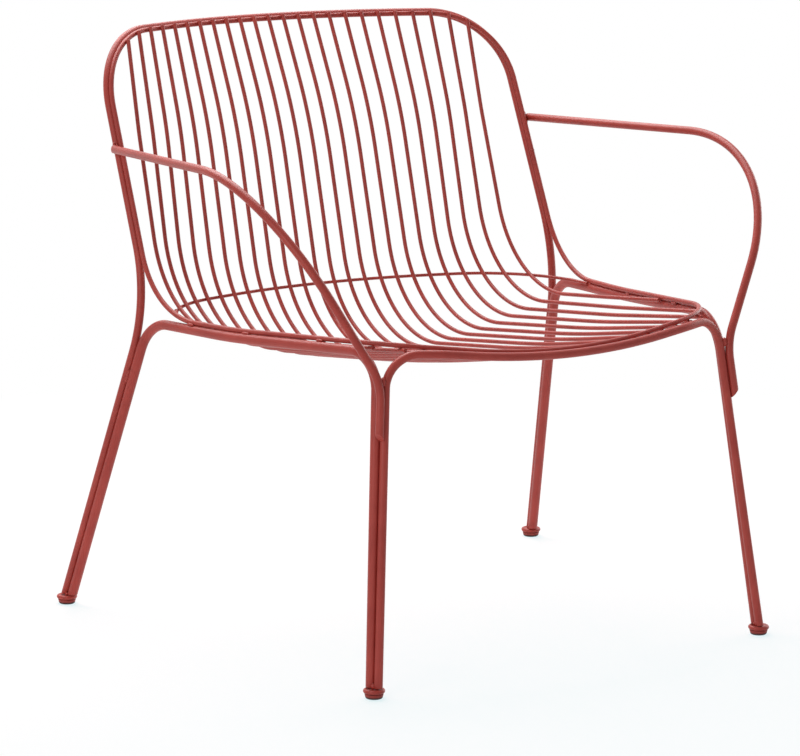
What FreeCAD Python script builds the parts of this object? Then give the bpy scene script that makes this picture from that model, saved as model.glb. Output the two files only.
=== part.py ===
import FreeCAD
import Part
import math
import os

from FreeCAD import Vector

# A low garden armchair welded from bent round steel bar and powder coated.
# Four hoops carry it: one behind the back, one at each side and one across the front. They stand
# in pairs on four feet. A thin rim closes the edge of the shell, straight wires bent once fill it,
# one cross wire ties them at the bend, and two arms run from the back hoop to the front legs.
# Millimetres. +Z is up, the sitter faces -Y, and the origin is on the floor in the middle of the box.

# Driving dimensions: name, value, what it is
DIMENSIONS = [
    ("back_bar", 10.0, "bar of the back hoop"),
    ("side_bar", 12.0, "bar of the side hoops"),
    ("front_bar", 10.0, "bar of the front hoop"),
    ("arm_bar", 10.0, "bar of the arms"),
    ("rim_bar", 6.0, "bar of the rim"),
    ("seat_bar", 4.5, "wires of the shell"),
    ("cross_bar", 4.0, "wire across the bend"),
    ("weld_gap", 0.05, "room left between bars that are welded side by side"),
    ("rear_foot_x", 353.2, "rear foot from the middle plane"),
    ("rear_foot_y", 250.1, "rear foot behind the origin"),
    ("front_foot_x", 277.9, "front foot from the middle plane"),
    ("front_foot_y", -333.3, "front foot from the origin"),
    ("glide_width", 20.0, "glide under each foot"),
    ("glide_height", 5.5, "underside of the collar above the floor"),
    ("glide_edge", 2.5, "rounding of the glide's lower edge"),
    ("peg_width", 6.0, "peg of the glide inside the collar"),
    ("peg_height", 3.5, "length of that peg"),
    ("collar_width", 25.4, "collar that the two bars of a leg stand on"),
    ("collar_height", 6.0, "thickness of the collar, rolled to a half round at its edge"),
    ("leg_aim_z", 3.0, "height at which a leg's middle line passes through the middle of its foot"),
    ("rear_pair_turn", 19.0, "degrees that the rear leg's pair of bars is turned outwards"),
    ("front_pair_turn_foot", 17.0, "degrees that the front pair is turned at the foot"),
    ("front_pair_turn_top", 38.0, "degrees that the front pair is turned at the seat"),
    ("front_leg_top_x", 239.0, "middle of the front pair at seat height"),
    ("front_leg_top_y", -286.1, "the same, from the origin"),
    ("front_leg_top_z", 392.0, "the same, above the floor"),
    ("hoop_knee_x", 303.3, "corner of the back hoop between leg and upright"),
    ("hoop_knee_y", 132.2, "the same"),
    ("hoop_knee_z", 394.6, "the same"),
    ("hoop_knee_radius", 183.0, "bend there"),
    ("hoop_corner_x", 297.0, "upper corner of the back hoop"),
    ("hoop_corner_y", 266.2, "the same"),
    ("hoop_corner_z", 703.7, "the same"),
    ("hoop_corner_radius", 108.0, "bend there"),
    ("hoop_bow_y", 377.4, "where the two halves of the bowed top rail would meet"),
    ("hoop_bow_z", 704.9, "the same"),
    ("hoop_bow_radius", 538.0, "bow of the top rail"),
    ("rim_inset", 2.0, "rim nearer the middle plane than the back hoop"),
    ("rim_top_drop", 1.0, "rim lower than the top rail"),
    ("rim_seat_z", 378.0, "height where the rim's upright and side would meet"),
    ("rim_seat_radius", 113.0, "bend of the rim from back to seat"),
    ("rim_side_x", 283.0, "rim at half depth"),
    ("rim_side_y", -35.2, "the same"),
    ("rim_side_z", 380.8, "the same"),
    ("rim_side_radius", 900.0, "gentle bow of the rim's side"),
    ("rim_front_x", 234.8, "front corner of the rim"),
    ("rim_front_y", -294.7, "the same"),
    ("rim_front_z", 398.3, "the same"),
    ("rim_front_radius", 95.0, "bend there"),
    ("rim_dip_y", -325.1, "where the two halves of the rim's front would meet"),
    ("rim_dip_z", 365.1, "the same"),
    ("rim_dip_radius", 740.0, "dip of the rim's front"),
    ("rim_joint_z", 530.0, "height of the butt joint that closes the rim"),
    ("rail_gap", 0.3, "gap between rim and side rail where they are nearest, filled by welds"),
    ("side_rail_out", 3.3, "side rail further out than the rim above it"),
    ("side_rear_z", 368.5, "rear corner of the side hoop"),
    ("side_rear_radius", 53.0, "bend there"),
    ("side_front_z", 388.0, "front corner of the side hoop"),
    ("side_front_radius", 46.0, "bend there"),
    ("front_corner_z", 383.0, "upper corner of the front hoop"),
    ("front_corner_radius", 36.0, "bend there"),
    ("front_turn_x", 175.0, "where the front rail turns along the rim's corner"),
    ("front_turn_y", -316.6, "the same"),
    ("front_turn_z", 382.4, "the same"),
    ("front_turn_radius", 104.0, "bend there"),
    ("front_dip_y", -338.1, "where the two halves of the front rail would meet"),
    ("front_dip_z", 363.6, "the same"),
    ("front_dip_radius", 800.0, "dip of the front rail"),
    ("arm_rear_out", 9.0, "rear end of the arm further out than the middle of the upright"),
    ("arm_rear_y", 205.5, "the same, from the origin"),
    ("arm_rear_z", 570.7, "the same, above the floor"),
    ("arm_front_x", 376.5, "front corner of the arm"),
    ("arm_front_y", -245.9, "the same"),
    ("arm_front_z", 587.3, "the same"),
    ("arm_front_radius", 183.0, "bend there"),
    ("arm_foot_z", 355.0, "where the arm turns along the front leg"),
    ("arm_foot_radius", 68.0, "bend there"),
    ("arm_end_z", 292.5, "lower end of the arm"),
    ("arm_end_slant", 42.0, "degrees of the slanted cut there"),
    ("arm_lie", 67.0, "degrees from the front at which the arm lies on the front leg"),
    ("wire_pitch", 21.95, "spacing of the wires at the top"),
    ("wire_spread", 0.03, "share by which they lie further apart at the bend"),
    ("wire_front_spread", 0.018, "the same at the front"),
    ("wire_knee_z", 582.5, "height above which the wires lean further back"),
    ("wire_knee_radius", 500.0, "bend there"),
    ("wire_lean_middle", 0.521, "lean of the middle wires above that height"),
    ("wire_lean_edge", 0.265, "lean of the outer wires there"),
    ("wire_over_top", 2.0, "wire end past the middle of the rim at the top"),
    ("wire_past_rim", 3.0, "end of the last wires but one past the middle of the rim"),
    ("bend_radius", 139.0, "bend of the wires from back to seat"),
    ("bend_z_middle", 446.4, "middle of that bend on the middle wires"),
    ("bend_z_edge", 500.8, "the same on the outermost wires"),
    ("cross_bow_z", 379.8, "height where the two halves of the cross wire would meet"),
    ("cross_corner_x", 279.1, "corner of the cross wire"),
    ("cross_corner_y", 162.0, "the same"),
    ("cross_corner_z", 377.4, "the same"),
    ("cross_corner_radius", 136.0, "bend there"),
    ("cross_bow_y", 228.4, "where the two halves of the cross wire would meet"),
    ("cross_bow_radius", 690.0, "bow of the cross wire"),
    ("cross_end_y", 42.3, "end of the cross wire on the rim"),
    ("inside_slope", 35.0, "degrees below level at which wire ends lie against the inside of the rim"),
]
WIRE_COUNT = 24
OUTER_WIRES = 2  # on each side, one ends against the rim's side and one at its corner, short of the rail
HALF_ROOM = 1000.0  # half the width of planes and blocks that must reach past the whole chair

doc = FreeCAD.newDocument("armchair")
sheet = doc.addObject("Spreadsheet::Sheet", "dimensions")
for row, (name, size, meaning) in enumerate(DIMENSIONS, start=1):
    sheet.set(f"A{row}", name)
    sheet.set(f"B{row}", str(size))
    sheet.set(f"C{row}", meaning)
    sheet.setAlias(f"B{row}", name)
doc.recompute()


def dim(name):
    return float(sheet.get(name))


def mirrored(point):
    return Vector(-point.x, point.y, point.z)


# Bent bars: a path of straight runs joined by tangent arcs, swept by a round section

def bent_path(corners, radii):
    """Wire through the corners; radii holds one bend for each corner between the two ends."""
    edges = []
    start = corners[0]
    for before, corner, after, radius in zip(corners, corners[1:], corners[2:], radii):
        back = (before - corner).normalize()
        ahead = (after - corner).normalize()
        half_turn = (math.pi - back.getAngle(ahead)) / 2
        tangent = radius * math.tan(half_turn)
        inward = (back + ahead).normalize()
        arc_start = corner + back * tangent
        arc_middle = corner + inward * (radius / math.cos(half_turn) - radius)
        arc_end = corner + ahead * tangent
        if (arc_start - start).dot(back) > 0:
            raise ValueError(f"the bends next to {corner} overlap")
        edges.append(Part.LineSegment(start, arc_start).toShape())
        edges.append(Part.Arc(arc_start, arc_middle, arc_end).toShape())
        start = arc_end
    edges.append(Part.LineSegment(start, corners[-1]).toShape())
    return Part.Wire(edges)


def bar(label, path, diameter):
    """Round bar along a path; diameter is the name of a cell."""
    spine = doc.addObject("Part::Feature", f"{label}_path")
    spine.Shape = path
    first = path.Edges[0]
    section = doc.addObject("Part::Circle", f"{label}_section")
    section.setExpression("Radius", f"dimensions.{diameter} / 2")
    along = FreeCAD.Rotation(Vector(0, 0, 1), first.tangentAt(first.FirstParameter))
    section.Placement = FreeCAD.Placement(first.valueAt(first.FirstParameter), along)
    swept = doc.addObject("Part::Sweep", label)
    swept.Sections = [section]
    swept.Spine = (spine, [f"Edge{number + 1}" for number in range(len(path.Edges))])
    swept.Solid = True
    swept.Frenet = False
    return swept


def cut(label, base, tool):
    trimmed = doc.addObject("Part::Cut", label)
    trimmed.Base = base
    trimmed.Tool = tool
    return trimmed


def place_on(line_start, line_end, height):
    """Point at a height on the line through two points."""
    share = (height - line_start.z) / (line_end.z - line_start.z)
    return line_start + (line_end - line_start) * share


def crossings(path, place, normal):
    """Points where a path passes the plane through a place."""
    level = normal.cross(Vector(0, 0, 1))
    corner = place - (level + Vector(0, 0, 1)) * HALF_ROOM
    plane = Part.makePlane(2 * HALF_ROOM, 2 * HALF_ROOM, corner, normal, Vector(0, 0, 1))
    return [vertex.Point for vertex in path.section(plane).Vertexes]


# Feet: a steel collar with a rolled edge, and a glide that is pegged into it

pieces = []


def foot(name, x, y):
    """Collar and glide of one leg."""
    place = FreeCAD.Placement(Vector(x, y, dim("glide_height")), FreeCAD.Rotation())
    core = doc.addObject("Part::Cylinder", f"{name}_collar_core")
    core.setExpression("Radius", "(dimensions.collar_width - dimensions.collar_height) / 2")
    core.setExpression("Height", "dimensions.collar_height")
    edge = doc.addObject("Part::Torus", f"{name}_collar_edge")
    edge.setExpression("Radius1", "(dimensions.collar_width - dimensions.collar_height) / 2")
    edge.setExpression("Radius2", "dimensions.collar_height / 2")
    edge.setExpression("Placement.Base.z", "dimensions.collar_height / 2")
    body = doc.addObject("Part::Fuse", f"{name}_collar_body")
    body.Base = core
    body.Tool = edge
    socket = doc.addObject("Part::Cylinder", f"{name}_collar_socket")
    socket.setExpression("Radius", "dimensions.peg_width / 2 + dimensions.weld_gap")
    socket.setExpression("Height", "dimensions.peg_height + dimensions.weld_gap")
    collar = cut(f"{name}_collar", body, socket)
    collar.Placement = place
    pad = doc.addObject("Part::Cylinder", f"{name}_glide_pad")
    pad.setExpression("Radius", "dimensions.glide_width / 2")
    pad.setExpression("Height", "dimensions.glide_height")
    doc.recompute()
    lower_edge = min(range(len(pad.Shape.Edges)), key=lambda k: pad.Shape.Edges[k].CenterOfMass.z)
    rounded = doc.addObject("Part::Fillet", f"{name}_glide_rounded")
    rounded.Base = pad
    rounded.Edges = [(lower_edge + 1, dim("glide_edge"), dim("glide_edge"))]
    peg = doc.addObject("Part::Cylinder", f"{name}_glide_peg")
    peg.setExpression("Radius", "dimensions.peg_width / 2")
    peg.setExpression("Height", "dimensions.glide_height + dimensions.peg_height")
    glide = doc.addObject("Part::Fuse", f"{name}_glide")
    glide.Base = rounded
    glide.Tool = peg
    glide.Placement = FreeCAD.Placement(Vector(x, y, 0), FreeCAD.Rotation())
    pieces.extend([collar, glide])


for side_name, side in (("left", -1), ("right", 1)):
    foot(f"front_{side_name}", side * dim("front_foot_x"), dim("front_foot_y"))
    foot(f"rear_{side_name}", side * dim("rear_foot_x"), dim("rear_foot_y"))

# Everything below the collars' tops is taken off the bars of the legs, so that they stand flat on them
floor_block = doc.addObject("Part::Box", "floor_block")
floor_block.Length = 2 * HALF_ROOM
floor_block.Width = 2 * HALF_ROOM
floor_block.setExpression("Height", "dimensions.glide_height + dimensions.collar_height")
floor_block.Placement.Base = Vector(-HALF_ROOM, -HALF_ROOM, 0)
bar_start_z = dim("glide_height")  # the bars of the legs are drawn from here, inside the block


def pair_direction(degrees):
    """Level direction from the inner bar of a leg to its outer bar, on the right side."""
    return Vector(math.sin(math.radians(degrees)), math.cos(math.radians(degrees)), 0)


# Back hoop: both rear legs, the uprights and the bowed top rail in one bar

rear_foot = Vector(dim("rear_foot_x"), dim("rear_foot_y"), dim("leg_aim_z"))
rear_pair = pair_direction(dim("rear_pair_turn"))
hoop_knee = Vector(dim("hoop_knee_x"), dim("hoop_knee_y"), dim("hoop_knee_z"))
hoop_corner = Vector(dim("hoop_corner_x"), dim("hoop_corner_y"), dim("hoop_corner_z"))
hoop_bow = Vector(0, dim("hoop_bow_y"), dim("hoop_bow_z"))
hoop_foot = rear_foot + rear_pair * (dim("side_bar") / 2)
hoop_start = place_on(hoop_foot, hoop_knee, bar_start_z)
back_path = bent_path(
    [mirrored(hoop_start), mirrored(hoop_knee), mirrored(hoop_corner), hoop_bow,
     hoop_corner, hoop_knee, hoop_start],
    [dim("hoop_knee_radius"), dim("hoop_corner_radius"), dim("hoop_bow_radius"),
     dim("hoop_corner_radius"), dim("hoop_knee_radius")])
pieces.append(cut("back_hoop", bar("back_hoop_bar", back_path, "back_bar"), floor_block))

# Rim: a thin bar bent to a closed loop round the shell, welded to the front of the back hoop and lying
# on the side rails; its two ends meet in a butt joint on the right upright

rim_reach = (dim("back_bar") + dim("rim_bar")) / 2 + dim("weld_gap")
upright = (hoop_corner - hoop_knee).normalize()
top_rail = (hoop_bow - hoop_corner).normalize()
ahead_of_upright = Vector(1, 0, 0).cross(upright).normalize()
ahead_of_rail = Vector(-top_rail.y, top_rail.x, 0).normalize()
rim_on_upright = Vector(-dim("rim_inset"), 0, 0)
rim_on_upright += ahead_of_upright * math.sqrt(rim_reach ** 2 - dim("rim_inset") ** 2)
rim_forward = math.sqrt(rim_reach ** 2 - dim("rim_top_drop") ** 2)
rim_on_top_rail = ahead_of_rail * rim_forward - Vector(0, 0, dim("rim_top_drop"))
across_corner = top_rail.cross(upright.cross(top_rail))
rim_rise = (rim_on_top_rail - rim_on_upright).dot(across_corner) / upright.dot(across_corner)
rim_corner = hoop_corner + rim_on_upright + upright * rim_rise
rim_bow = hoop_bow + Vector(0, rim_forward / ahead_of_rail.y, -dim("rim_top_drop"))
rim_seat = place_on(hoop_corner + rim_on_upright, hoop_knee + rim_on_upright, dim("rim_seat_z"))
rim_side = Vector(dim("rim_side_x"), dim("rim_side_y"), dim("rim_side_z"))
rim_front = Vector(dim("rim_front_x"), dim("rim_front_y"), dim("rim_front_z"))
rim_dip = Vector(0, dim("rim_dip_y"), dim("rim_dip_z"))
rim_joint = place_on(rim_corner, rim_seat, dim("rim_joint_z"))
joint_gap = (rim_corner - rim_seat).normalize() * dim("weld_gap")
rim_corners = [rim_corner, rim_bow, mirrored(rim_corner), mirrored(rim_seat), mirrored(rim_side),
               mirrored(rim_front), rim_dip, rim_front, rim_side, rim_seat]
rim_path = bent_path(
    [rim_joint + joint_gap] + rim_corners + [rim_joint - joint_gap],
    [dim("hoop_corner_radius") - dim("rim_inset"), dim("hoop_bow_radius") - rim_forward,
     dim("hoop_corner_radius") - dim("rim_inset"), dim("rim_seat_radius"), dim("rim_side_radius"),
     dim("rim_front_radius"), dim("rim_dip_radius"), dim("rim_front_radius"), dim("rim_side_radius"),
     dim("rim_seat_radius")])
pieces.append(bar("seat_rim", rim_path, "rim_bar"))

# Side hoops: rear leg, side rail under the rim and front leg in one bar, left and right

leg_pair_reach = (dim("back_bar") + dim("side_bar")) / 2 + dim("weld_gap")
rear_leg = (hoop_knee - hoop_foot).normalize()
rear_offset = (rear_pair - rear_leg * rear_pair.dot(rear_leg)).normalize() * leg_pair_reach
front_foot = Vector(dim("front_foot_x"), dim("front_foot_y"), dim("leg_aim_z"))
front_top = Vector(dim("front_leg_top_x"), dim("front_leg_top_y"), dim("front_leg_top_z"))
foot_pair = pair_direction(dim("front_pair_turn_foot"))
top_pair = pair_direction(dim("front_pair_turn_top"))
pair_twist = math.radians(dim("front_pair_turn_top") - dim("front_pair_turn_foot"))
twist_spread = 1 / math.cos(pair_twist / 2)  # the two bars cross slightly and touch half way up
side_leg_out = (dim("front_bar") / 2 + dim("weld_gap")) * twist_spread
side_leg_foot = front_foot + foot_pair * side_leg_out
side_leg_top = front_top + top_pair * side_leg_out
rim_on_rail = (dim("rim_bar") + dim("side_bar")) / 2 + dim("rail_gap")
rail_drop = math.sqrt(rim_on_rail ** 2 - dim("side_rail_out") ** 2)
side_rail = rim_side + Vector(dim("side_rail_out"), 0, -rail_drop)
side_corners = [
    place_on(hoop_foot - rear_offset, hoop_knee - rear_offset, bar_start_z),
    place_on(hoop_foot - rear_offset, hoop_knee - rear_offset, dim("side_rear_z")),
    side_rail,
    place_on(side_leg_foot, side_leg_top, dim("side_front_z")),
    place_on(side_leg_foot, side_leg_top, bar_start_z)]
side_radii = [dim("side_rear_radius"), dim("rim_side_radius"), dim("side_front_radius")]
left_side_path = bent_path([mirrored(corner) for corner in side_corners], side_radii)
right_side_path = bent_path(side_corners, side_radii)
pieces.append(cut("left_side_hoop", bar("left_side_bar", left_side_path, "side_bar"), floor_block))
pieces.append(cut("right_side_hoop", bar("right_side_bar", right_side_path, "side_bar"), floor_block))

# Front hoop: both front legs and the rail across the front, which runs just ahead of the rim

front_leg_in = (dim("side_bar") / 2 + dim("weld_gap")) * twist_spread
front_leg_foot = front_foot - foot_pair * front_leg_in
front_leg_top = front_top - top_pair * front_leg_in
front_start = place_on(front_leg_foot, front_leg_top, bar_start_z)
front_corner = place_on(front_leg_foot, front_leg_top, dim("front_corner_z"))
front_turn = Vector(dim("front_turn_x"), dim("front_turn_y"), dim("front_turn_z"))
front_dip = Vector(0, dim("front_dip_y"), dim("front_dip_z"))
front_path = bent_path(
    [mirrored(front_start), mirrored(front_corner), mirrored(front_turn), front_dip,
     front_turn, front_corner, front_start],
    [dim("front_corner_radius"), dim("front_turn_radius"), dim("front_dip_radius"),
     dim("front_turn_radius"), dim("front_corner_radius")])
pieces.append(cut("front_hoop", bar("front_hoop_bar", front_path, "front_bar"), floor_block))

# Arms: the edge of each one's rear end is welded to the outside of an upright; from there it runs forward,
# bends down and ends along a front leg

arm_front_reach = (dim("front_bar") + dim("arm_bar")) / 2 + dim("weld_gap")
arm_lie = Vector(math.sin(math.radians(dim("arm_lie"))), -math.cos(math.radians(dim("arm_lie"))), 0)
front_leg = (front_leg_top - front_leg_foot).normalize()
arm_offset = (arm_lie - front_leg * arm_lie.dot(front_leg)).normalize() * arm_front_reach
upright_at_arm = place_on(hoop_corner, hoop_knee, dim("arm_rear_z"))
arm_corners = [
    Vector(upright_at_arm.x + dim("arm_rear_out"), dim("arm_rear_y"), dim("arm_rear_z")),
    Vector(dim("arm_front_x"), dim("arm_front_y"), dim("arm_front_z")),
    place_on(front_leg_foot, front_leg_top, dim("arm_foot_z")) + arm_offset,
    place_on(front_leg_foot, front_leg_top, dim("arm_end_z") - dim("arm_bar")) + arm_offset]
arm_radii = [dim("arm_front_radius"), dim("arm_foot_radius")]


def arm(label, corners, outwards):
    """One arm, with its lower end cut on a slant that rises away from the leg."""
    blank = bar(f"{label}_bar", bent_path(corners, arm_radii), "arm_bar")
    saw = doc.addObject("Part::Box", f"{label}_saw")
    for side in ("Length", "Width", "Height"):
        saw.setExpression(side, "4 * dimensions.arm_bar")
    middle = Vector(2, 2, 4) * dim("arm_bar")  # middle of the block's top face
    slant = FreeCAD.Rotation(outwards.cross(Vector(0, 0, 1)), dim("arm_end_slant"))
    end = place_on(corners[-2], corners[-1], dim("arm_end_z"))
    saw.Placement = FreeCAD.Placement(end - slant.multVec(middle), slant)
    return cut(label, blank, saw)


pieces.append(arm("left_arm", [mirrored(corner) for corner in arm_corners], mirrored(arm_lie)))
pieces.append(arm("right_arm", arm_corners, arm_lie))

# Cross wire: runs behind the shell's wires at the bend, from one side of the rim to the other

inside_slope = math.radians(dim("inside_slope"))
inside_of_rim = Vector(-math.cos(inside_slope), 0, -math.sin(inside_slope))
cross_corner = Vector(dim("cross_corner_x"), dim("cross_corner_y"), dim("cross_corner_z"))
cross_bow = Vector(0, dim("cross_bow_y"), dim("cross_bow_z"))
cross_on_rim = (dim("rim_bar") + dim("cross_bar")) / 2 + dim("weld_gap")
rim_places = crossings(rim_path, Vector(0, dim("cross_end_y"), 0), Vector(0, 1, 0))
rim_at_end = max(rim_places, key=lambda point: point.x)
cross_end = rim_at_end + inside_of_rim * cross_on_rim
cross_path = bent_path(
    [mirrored(cross_end), mirrored(cross_corner), cross_bow, cross_corner, cross_end],
    [dim("cross_corner_radius"), dim("cross_bow_radius"), dim("cross_corner_radius")])
pieces.append(bar("cross_wire", cross_path, "cross_bar"))

# Wires of the shell: each lies in an upright plane, welded to the front of the rim at the top and under
# the rim at the front, with a bend round one radius between back and seat

outer_x = dim("wire_pitch") * (WIRE_COUNT - 1) / 2
wire_on_rim = (dim("rim_bar") + dim("seat_bar")) / 2 + dim("weld_gap")
wire_on_cross = (dim("cross_bar") + dim("seat_bar")) / 2 + dim("weld_gap")


def highest(point):
    return point.z


def foremost(point):
    return -point.y


def crossing(path, x, rank):
    """Where a path passes the plane at x, and how it moves on from there for each unit of x."""
    across = Vector(1, 0, 0)
    here = max(crossings(path, across * x, across), key=rank)
    beyond = max(crossings(path, across * (x + 1), across), key=rank)
    return here, beyond - here


def slanted(reach, run, normal):
    """Distance in a wire's plane to a bar that passes that plane on a slant."""
    return reach * math.sqrt(1 + run.dot(normal) ** 2)


def polar(angle, length):
    return Vector(0, math.cos(angle), math.sin(angle)) * length


def tangent_angle(point, centre, radius, turn):
    """Direction from the middle of a bend to where a run from the point touches it."""
    away = point - centre
    return math.atan2(away.z, away.y) + turn * math.acos(radius / math.hypot(away.y, away.z))


def wire_corners(x):
    """Top end, lean, seat bend and front end of the wire in the plane at x, right of the middle."""
    towards_edge = (x / outer_x) ** 2
    lean = dim("wire_lean_middle") + (dim("wire_lean_edge") - dim("wire_lean_middle")) * towards_edge
    up = Vector(0, lean, 1).normalize()
    ahead = Vector(0, -1, lean).normalize()
    rim_top, rim_run = crossing(rim_path, x, highest)
    top = rim_top + ahead * slanted(wire_on_rim, rim_run, ahead) + up * dim("wire_over_top")
    knee = top - up * ((top.z - dim("wire_knee_z")) / up.z)

    bend_x = x * (1 + dim("wire_spread"))
    bend_z = dim("bend_z_middle") + (dim("bend_z_edge") - dim("bend_z_middle")) * towards_edge
    cross_at, cross_run = crossing(cross_path, bend_x, highest)
    drop = bend_z - cross_at.z
    dip_angle = math.asin(drop / (dim("bend_radius") + wire_on_cross))
    cross_reach = dim("bend_radius") + slanted(wire_on_cross, cross_run, polar(-dip_angle, 1))
    centre = Vector(bend_x, cross_at.y - math.sqrt(cross_reach ** 2 - drop ** 2), bend_z)

    front_x = x * (1 + dim("wire_front_spread"))
    if x > outer_x - dim("wire_pitch") / 2:
        rim_beside = front_x - inside_of_rim.x * wire_on_rim
        end = crossing(rim_path, rim_beside, foremost)[0] + inside_of_rim * wire_on_rim
    else:
        rim_front_at, rim_front_run = crossing(rim_path, front_x, foremost)
        under = Vector(0, 0, -1)
        for _ in range(4):
            end = rim_front_at + under * slanted(wire_on_rim, rim_front_run, under)
            under = polar(tangent_angle(end, centre, dim("bend_radius"), 1), 1)
        forward = Vector(0, under.z, -under.y)
        past = dim("wire_past_rim")
        if x < outer_x - (OUTER_WIRES - 0.5) * dim("wire_pitch"):
            rail, rail_run = crossing(front_path, front_x, foremost)
            rail_back = rail.y + slanted(dim("front_bar") / 2, rail_run, Vector(0, 1, 0)) + 4 * dim("weld_gap")
            rail_back += abs(rail_run.y) * dim("seat_bar") / 2
            past = (rail_back - end.y) / forward.y
        end += forward * past

    behind = polar(tangent_angle(knee, centre, dim("bend_radius"), -1), dim("bend_radius"))
    below = polar(tangent_angle(end, centre, dim("bend_radius"), 1), dim("bend_radius"))
    bend = centre + (behind + below) / (1 + behind.dot(below) / dim("bend_radius") ** 2)
    knee.x = x + (bend.x - x) * (top.z - knee.z) / (top.z - bend.z)
    return [top, knee, bend, end]


for number in range(1, WIRE_COUNT + 1):
    x = dim("wire_pitch") * (number - (WIRE_COUNT + 1) / 2)
    corners = wire_corners(abs(x))
    if x < 0:
        corners = [mirrored(corner) for corner in corners]
    path = bent_path(corners, [dim("wire_knee_radius"), dim("bend_radius")])
    pieces.append(bar(f"seat_wire_{number:02d}", path, "seat_bar"))


def check(obj):
    if "Invalid" in obj.State or "Error" in obj.State:
        raise RuntimeError(f"{obj.Label} failed: {obj.State}")


doc.recompute()
for obj in doc.Objects:
    check(obj)
os.makedirs("parts", exist_ok=True)
for piece in pieces:
    if piece.Shape.isNull() or not piece.Shape.isValid():
        raise RuntimeError(f"{piece.Label} has no valid shape")
    piece.Shape.exportStep(f"parts/{piece.Label}.step")
    print(piece.Label, round(piece.Shape.Volume), len(piece.Shape.Solids))
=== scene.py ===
import math

import bmesh
import bpy
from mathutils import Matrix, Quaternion, Vector


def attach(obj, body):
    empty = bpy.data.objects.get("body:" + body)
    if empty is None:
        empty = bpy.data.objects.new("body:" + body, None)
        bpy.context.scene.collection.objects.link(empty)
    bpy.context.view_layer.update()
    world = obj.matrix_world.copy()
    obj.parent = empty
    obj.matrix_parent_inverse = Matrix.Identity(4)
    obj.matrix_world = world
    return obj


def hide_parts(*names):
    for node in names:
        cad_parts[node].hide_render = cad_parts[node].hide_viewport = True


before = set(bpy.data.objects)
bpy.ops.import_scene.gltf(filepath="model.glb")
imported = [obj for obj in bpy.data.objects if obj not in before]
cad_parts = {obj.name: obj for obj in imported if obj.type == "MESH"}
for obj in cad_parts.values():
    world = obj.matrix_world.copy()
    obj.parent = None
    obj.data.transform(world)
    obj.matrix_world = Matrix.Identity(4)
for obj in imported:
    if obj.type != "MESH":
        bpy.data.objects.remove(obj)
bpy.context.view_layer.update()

# Back hoop
# One bar of round steel, bent cold to both rear legs, the uprights and the bowed top rail. It stands
# behind everything else, and like all the steel it is powder coated brick red after welding.
# All sizes are in metres. The right side is drawn, and the left side is its mirror image.

hoop_bar = 0.010
side_bar = 0.012
weld_gap = 0.00005
collar_top = 0.0115
bar_sides = 32
bend_steps = 28
cut_edge = 0.0004
cut_edge_angle = math.radians(35)
leg_aim_z = 0.003
rear_foot = Vector((0.3532, 0.2501, leg_aim_z))
rear_pair_turn = 19.0
hoop_knee = Vector((0.3033, 0.1322, 0.3946))
hoop_corner = Vector((0.2970, 0.2662, 0.7037))
hoop_bow = Vector((0.0, 0.3774, 0.7049))
hoop_bends = [0.183, 0.108, 0.538, 0.108, 0.183]
coat_deep = (0.345, 0.038, 0.028, 1.0)
coat_pale = (0.415, 0.054, 0.040, 1.0)
coat_roughness = 0.40
stand_off = 0.0007


def blank_material(name):
    """Material whose node tree is empty, and that tree."""
    material = bpy.data.materials.new(name)
    material.use_nodes = True
    material.node_tree.nodes.clear()
    return material, material.node_tree


def noise(tree, where, scale, detail):
    """Soft random clouds over a piece."""
    clouds = tree.nodes.new("ShaderNodeTexNoise")
    clouds.inputs["Scale"].default_value = scale
    clouds.inputs["Detail"].default_value = detail
    tree.links.new(where, clouds.inputs["Vector"])
    return clouds.outputs["Fac"]


def raised(tree, relief, strength, distance):
    """Bump that lifts a surface by its relief."""
    bump = tree.nodes.new("ShaderNodeBump")
    bump.inputs["Strength"].default_value = strength
    bump.inputs["Distance"].default_value = distance
    tree.links.new(relief, bump.inputs["Height"])
    return bump


def powder_coat(name, deep, pale, roughness):
    """Satin coat: two close shades in soft clouds, orange peel, and a few nibs of dust under the film."""
    coat, tree = blank_material(name)
    add = tree.nodes.new
    join = tree.links.new
    where = add("ShaderNodeTexCoord").outputs["Object"]
    clouds = noise(tree, where, scale=26.0, detail=3.0)
    shades = add("ShaderNodeValToRGB")
    shades.color_ramp.elements[0].position = 0.32
    shades.color_ramp.elements[0].color = deep
    shades.color_ramp.elements[1].position = 0.68
    shades.color_ramp.elements[1].color = pale
    join(clouds, shades.inputs["Fac"])
    film = add("ShaderNodeMapRange")
    film.inputs["To Min"].default_value = roughness - 0.05
    film.inputs["To Max"].default_value = roughness + 0.07
    join(clouds, film.inputs["Value"])
    peel = raised(tree, noise(tree, where, scale=900.0, detail=2.0), strength=0.05, distance=0.0003)
    nibs = add("ShaderNodeTexVoronoi")
    nibs.inputs["Scale"].default_value = 130.0
    join(where, nibs.inputs["Vector"])
    nib_height = add("ShaderNodeMapRange")
    nib_height.inputs["From Max"].default_value = 0.09
    nib_height.inputs["To Min"].default_value = 1.0
    nib_height.inputs["To Max"].default_value = 0.0
    join(nibs.outputs["Distance"], nib_height.inputs["Value"])
    dusty = raised(tree, nib_height.outputs["Result"], strength=0.12, distance=0.00025)
    join(peel.outputs["Normal"], dusty.inputs["Normal"])
    paint = add("ShaderNodeBsdfPrincipled")
    paint.inputs["Specular IOR Level"].default_value = 0.32
    join(shades.outputs["Color"], paint.inputs["Base Color"])
    join(film.outputs["Result"], paint.inputs["Roughness"])
    join(dusty.outputs["Normal"], paint.inputs["Normal"])
    join(paint.outputs["BSDF"], add("ShaderNodeOutputMaterial").inputs["Surface"])
    return coat


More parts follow.
